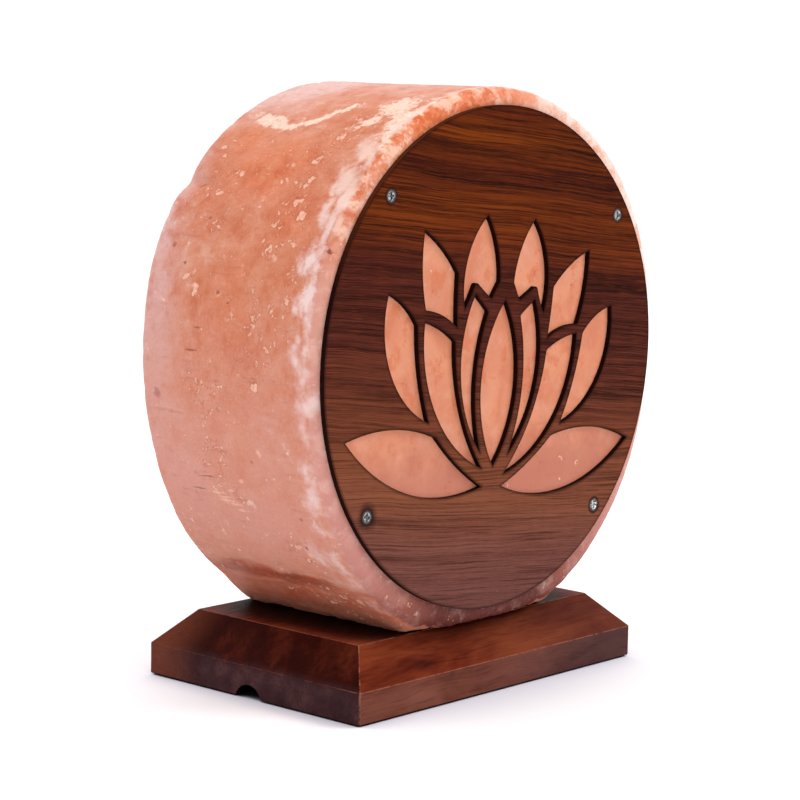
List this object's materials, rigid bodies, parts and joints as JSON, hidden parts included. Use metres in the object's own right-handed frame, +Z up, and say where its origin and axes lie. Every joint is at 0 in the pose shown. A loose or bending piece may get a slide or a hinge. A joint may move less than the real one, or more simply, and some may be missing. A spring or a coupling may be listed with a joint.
{
  "type": "salt crystal lamp",
  "caption": "Round block of pink salt on a wooden base, with a wooden panel in front cut through with a lotus, and a lampholder and bulb that push in from below.",
  "frame": {"origin": "on the table, under the middle of the base", "axes": "+Z up, -Y out of the front panel, +X to the right along the front"},
  "size_m": [0.2004, 0.11, 0.2289],
  "materials": {
    "salt": "translucent rough salmon-pink rock salt",
    "panel_wood": "dark striped rosewood veneer, satin",
    "base_wood": "dark red-brown stained hardwood, satin",
    "foot_felt": "dense brown felt",
    "zinc_steel": "zinc plated",
    "spring_steel": "bright spring steel",
    "grey_plug": "moulded nylon",
    "black_moulding": "moulded heat-resistant plastic",
    "porcelain": "glazed white porcelain",
    "shell_brass": "drawn brass",
    "cap_metal": "drawn brass",
    "black_glass": "black glass insulator",
    "solder": "dull solder",
    "clear_glass": "clear blown glass",
    "lead_wire": "drawn wire",
    "tungsten": "coiled tungsten"
  },
  "bodies": {
    "lamp_body": {"salt_drum": "salt", "front_panel": "panel_wood", "wooden_base": "base_wood", "foot_front_left": "foot_felt", "foot_front_right": "foot_felt", "foot_back_left": "foot_felt", "foot_back_right": "foot_felt", "drum_washer_front": "zinc_steel", "drum_washer_back": "zinc_steel", "drum_screw_front": "zinc_steel", "drum_screw_back": "zinc_steel", "drum_plug_front": "grey_plug", "drum_plug_back": "grey_plug", "panel_screw_upper_left": "zinc_steel", "panel_plug_upper_left": "grey_plug", "panel_screw_upper_right": "zinc_steel", "panel_plug_upper_right": "grey_plug", "panel_screw_lower_left": "zinc_steel", "panel_plug_lower_left": "grey_plug", "panel_screw_lower_right": "zinc_steel", "panel_plug_lower_right": "grey_plug"},
    "lampholder": {"holder_plate": "spring_steel", "spring_clip_front": "spring_steel", "spring_clip_back": "spring_steel", "clip_rivet_front": "zinc_steel", "clip_rivet_back": "zinc_steel", "cord_nipple": "zinc_steel", "nipple_nut": "zinc_steel", "holder_cap": "black_moulding", "holder_body": "black_moulding", "holder_insert": "porcelain", "thread_shell": "shell_brass", "centre_contact": "shell_brass", "terminal_screw_left": "shell_brass", "terminal_screw_right": "shell_brass"},
    "bulb": {"bulb_cap": "cap_metal", "bulb_insulator": "black_glass", "bulb_tip": "solder", "bulb_glass": "clear_glass", "bulb_stem": "clear_glass", "lead_wire_left": "lead_wire", "lead_wire_right": "lead_wire", "filament": "tungsten"}
  },
  "joints": [
    {"name": "lampholder_slide", "type": "slide", "parent": "lamp_body", "child": "lampholder", "axis": [0, 0, -1], "range_m": [0, 0.11]},
    {"name": "bulb_turn", "type": "hinge", "parent": "lampholder", "child": "bulb", "pos_m": [0, -0.002, 0.05], "axis": [0, 0, 1], "range_deg": [0, 1260]}
  ]
}
